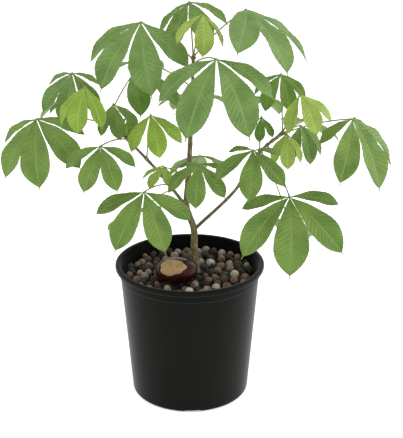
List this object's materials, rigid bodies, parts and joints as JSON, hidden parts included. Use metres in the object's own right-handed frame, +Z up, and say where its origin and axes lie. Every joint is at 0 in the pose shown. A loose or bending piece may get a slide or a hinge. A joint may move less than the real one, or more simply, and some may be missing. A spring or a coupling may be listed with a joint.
{
  "type": "young horse chestnut tree in a nursery pot",
  "caption": "Young horse chestnut tree with fans of drooping leaflets on slim boughs, in a round black nursery pot topped with clay pebbles.",
  "frame": {"origin": "centre of the pot's flat underside", "axes": "+Z up along the trunk, -Y toward the front, +X to the viewer's right"},
  "size_m": [0.3757, 0.2179, 0.3958],
  "materials": {
    "black_plastic": "moulded satin",
    "fired_clay": "rough fired",
    "seed_coat": "polished brown skin with a pale scar",
    "bark": "young bark",
    "leaf": "leaf blade"
  },
  "bodies": {
    "root": {"pot": "black_plastic", "clay_pebbles": "fired_clay", "conker": "seed_coat", "trunk": "bark", "bough_left": "bark", "bough_right": "bark", "leaf_far_left": "leaf", "leaf_left_back": "leaf", "leaf_left_dark": "leaf", "leaf_left_bright": "leaf", "leaf_left_inner": "leaf", "leaf_left_small": "leaf", "leaf_left_low": "leaf", "leaf_bough_young": "leaf", "leaf_centre_left": "leaf", "leaf_low_left": "leaf", "leaf_top_left": "leaf", "leaf_front_centre": "leaf", "leaf_top_right": "leaf", "leaf_top": "leaf", "leaf_top_young": "leaf", "leaf_centre": "leaf", "leaf_right_centre": "leaf", "leaf_right_small": "leaf", "leaf_right_back": "leaf", "leaf_right_bright": "leaf", "leaf_far_right": "leaf", "leaf_right_low": "leaf", "leaf_right_young": "leaf", "leaf_low_right": "leaf", "leaf_back_high": "leaf", "leaf_back_top_left": "leaf", "leaf_back_left": "leaf", "leaf_back_top_right": "leaf", "leaf_back_right": "leaf", "leaf_back_low_right": "leaf", "leaf_back_low_left": "leaf", "leaf_back_centre": "leaf"}
  },
  "joints": []
}
